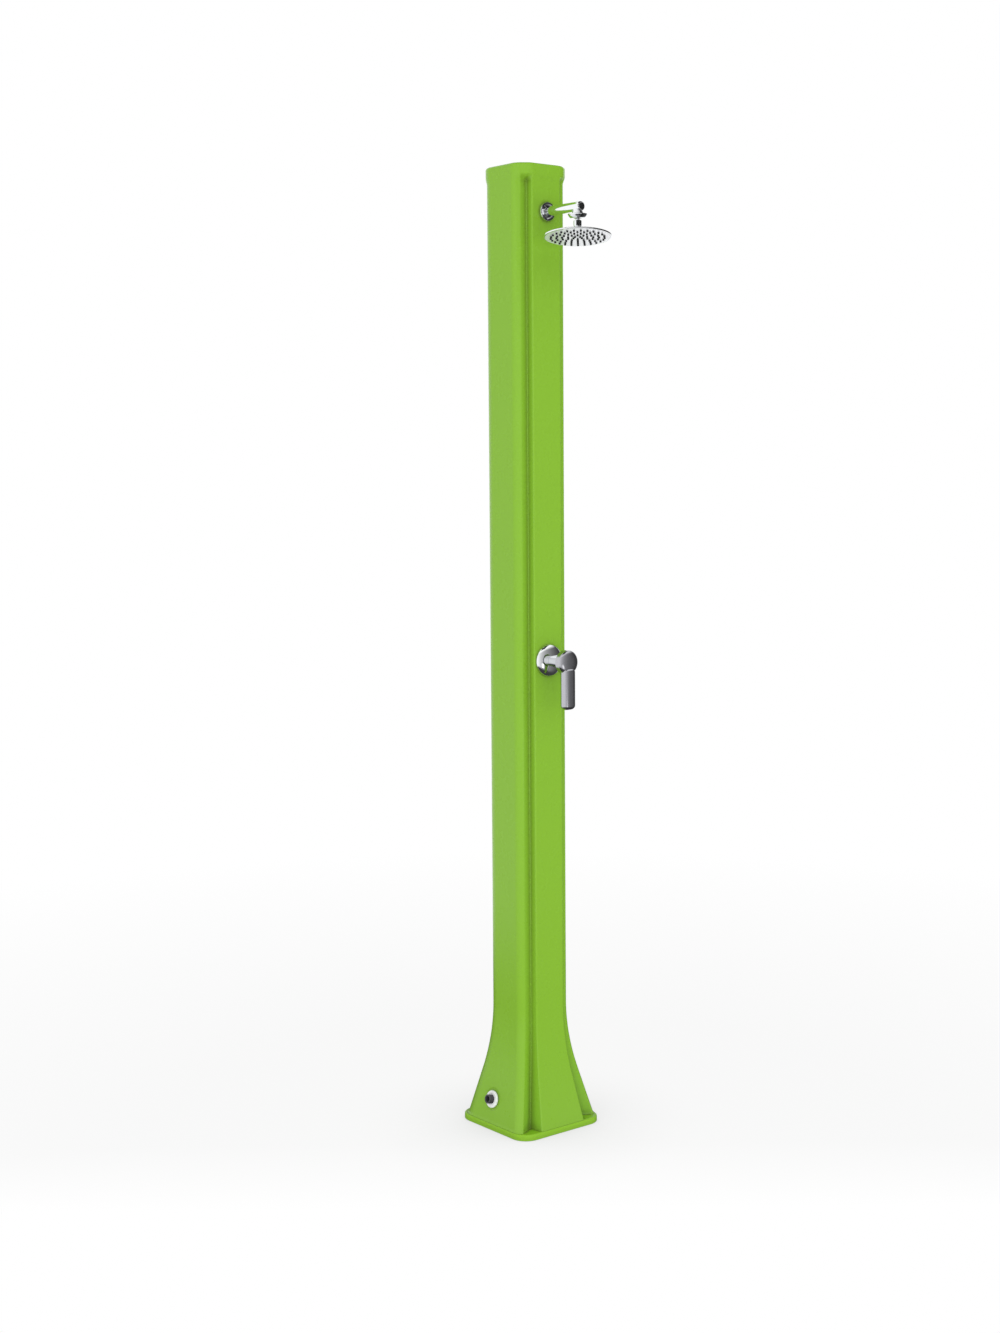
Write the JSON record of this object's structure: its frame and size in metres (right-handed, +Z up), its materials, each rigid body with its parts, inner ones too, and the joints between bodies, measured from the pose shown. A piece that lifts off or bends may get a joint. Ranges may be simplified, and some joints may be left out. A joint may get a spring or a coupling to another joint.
{
  "type": "outdoor shower post",
  "caption": "Free-standing outdoor shower post: grooved moulded column with a flared foot, side water inlet, lever mixer tap and a tilting rain head on a short arm.",
  "frame": {"origin": "middle of the base plate's underside, on the ground", "axes": "+Z up the column, -Y out of the front panel that carries the mixer and the shower arm, +X to the right seen from the front"},
  "size_m": [0.2455, 0.3808, 2.2],
  "materials": {
    "moulded_green": "light green moulded plastic with a soft sheen",
    "base_green": "light green moulded plastic with a soft sheen",
    "chrome": "bright polished chrome plate",
    "chrome_handle": "bright polished chrome plate",
    "chrome_arm": "bright polished chrome plate",
    "chrome_face": "polished face of the rain head",
    "nozzle_rubber": "black flexible nozzles",
    "white_plastic": "smooth white plastic",
    "dark_plastic": "dark grey threaded plastic",
    "black_rubber": "black sealing rubber",
    "brass_part": "plain turned brass",
    "zinc_screw": "zinc plated steel",
    "steel_part": "stainless steel",
    "ceramic_white": "lapped ceramic disc",
    "cartridge_plastic": "off-white cartridge plastic",
    "core_plastic": "blue cartridge plastic",
    "hose_cold": "pale flexible hose",
    "hose_hot": "pale flexible hose",
    "hose_mixed": "pale flexible hose"
  },
  "bodies": {
    "root": {"tank_shell": "moulded_green", "base_plate": "base_green", "base_screws": "zinc_screw", "anchor_inserts": "brass_part", "inlet_nipple": "dark_plastic", "inlet_rosette": "white_plastic", "inlet_gasket": "black_rubber", "inlet_locknut": "brass_part", "inlet_tee": "brass_part", "cold_hose": "hose_cold", "hot_hose": "hose_hot", "mixed_hose": "hose_mixed", "mixer_body": "chrome", "mixer_gasket": "black_rubber", "mixer_locknut": "brass_part", "mixer_dome": "chrome", "cartridge_housing": "cartridge_plastic", "cartridge_nut": "brass_part", "fixed_disc": "ceramic_white", "shower_arm": "chrome_arm", "arm_gasket": "black_rubber", "arm_locknut": "brass_part", "arm_elbow": "brass_part", "arm_flange": "chrome", "ball_collar": "chrome", "ball_seal": "black_rubber"},
    "turret": {"cartridge_core": "core_plastic", "moving_disc": "ceramic_white", "pivot_pin": "steel_part"},
    "handle": {"spindle": "steel_part", "handle": "chrome_handle", "handle_screw": "steel_part"},
    "seat": {"ball_seat": "white_plastic"},
    "stem": {"ball_stem": "chrome"},
    "head": {"stem_nut": "chrome", "stem_washer": "black_rubber", "head_back": "chrome", "nozzle_mat": "nozzle_rubber", "head_plate": "chrome_face"}
  },
  "joints": [
    {"name": "temperature_turn", "type": "hinge", "parent": "root", "child": "turret", "pos_m": [0, -0.123, 1.094], "axis": [0, -1, 0], "range_deg": [-45, 45]},
    {"name": "flow_lift", "type": "hinge", "parent": "turret", "child": "handle", "pos_m": [0, -0.123, 1.094], "axis": [-1, 0, 0], "range_deg": [0, 22]},
    {"name": "head_nod", "type": "hinge", "parent": "root", "child": "seat", "pos_m": [0, -0.179, 2.0765], "axis": [1, 0, 0], "range_deg": [-6.6, 19.4]},
    {"name": "head_sway", "type": "hinge", "parent": "seat", "child": "stem", "pos_m": [0, -0.179, 2.0765], "axis": [0, 1, 0], "range_deg": [-18.6, 7.4]},
    {"name": "head_spin", "type": "hinge", "parent": "stem", "child": "head", "pos_m": [0, -0.179, 2.0765], "axis": [0.097, 0.1116, 0.989], "continuous": true}
  ]
}
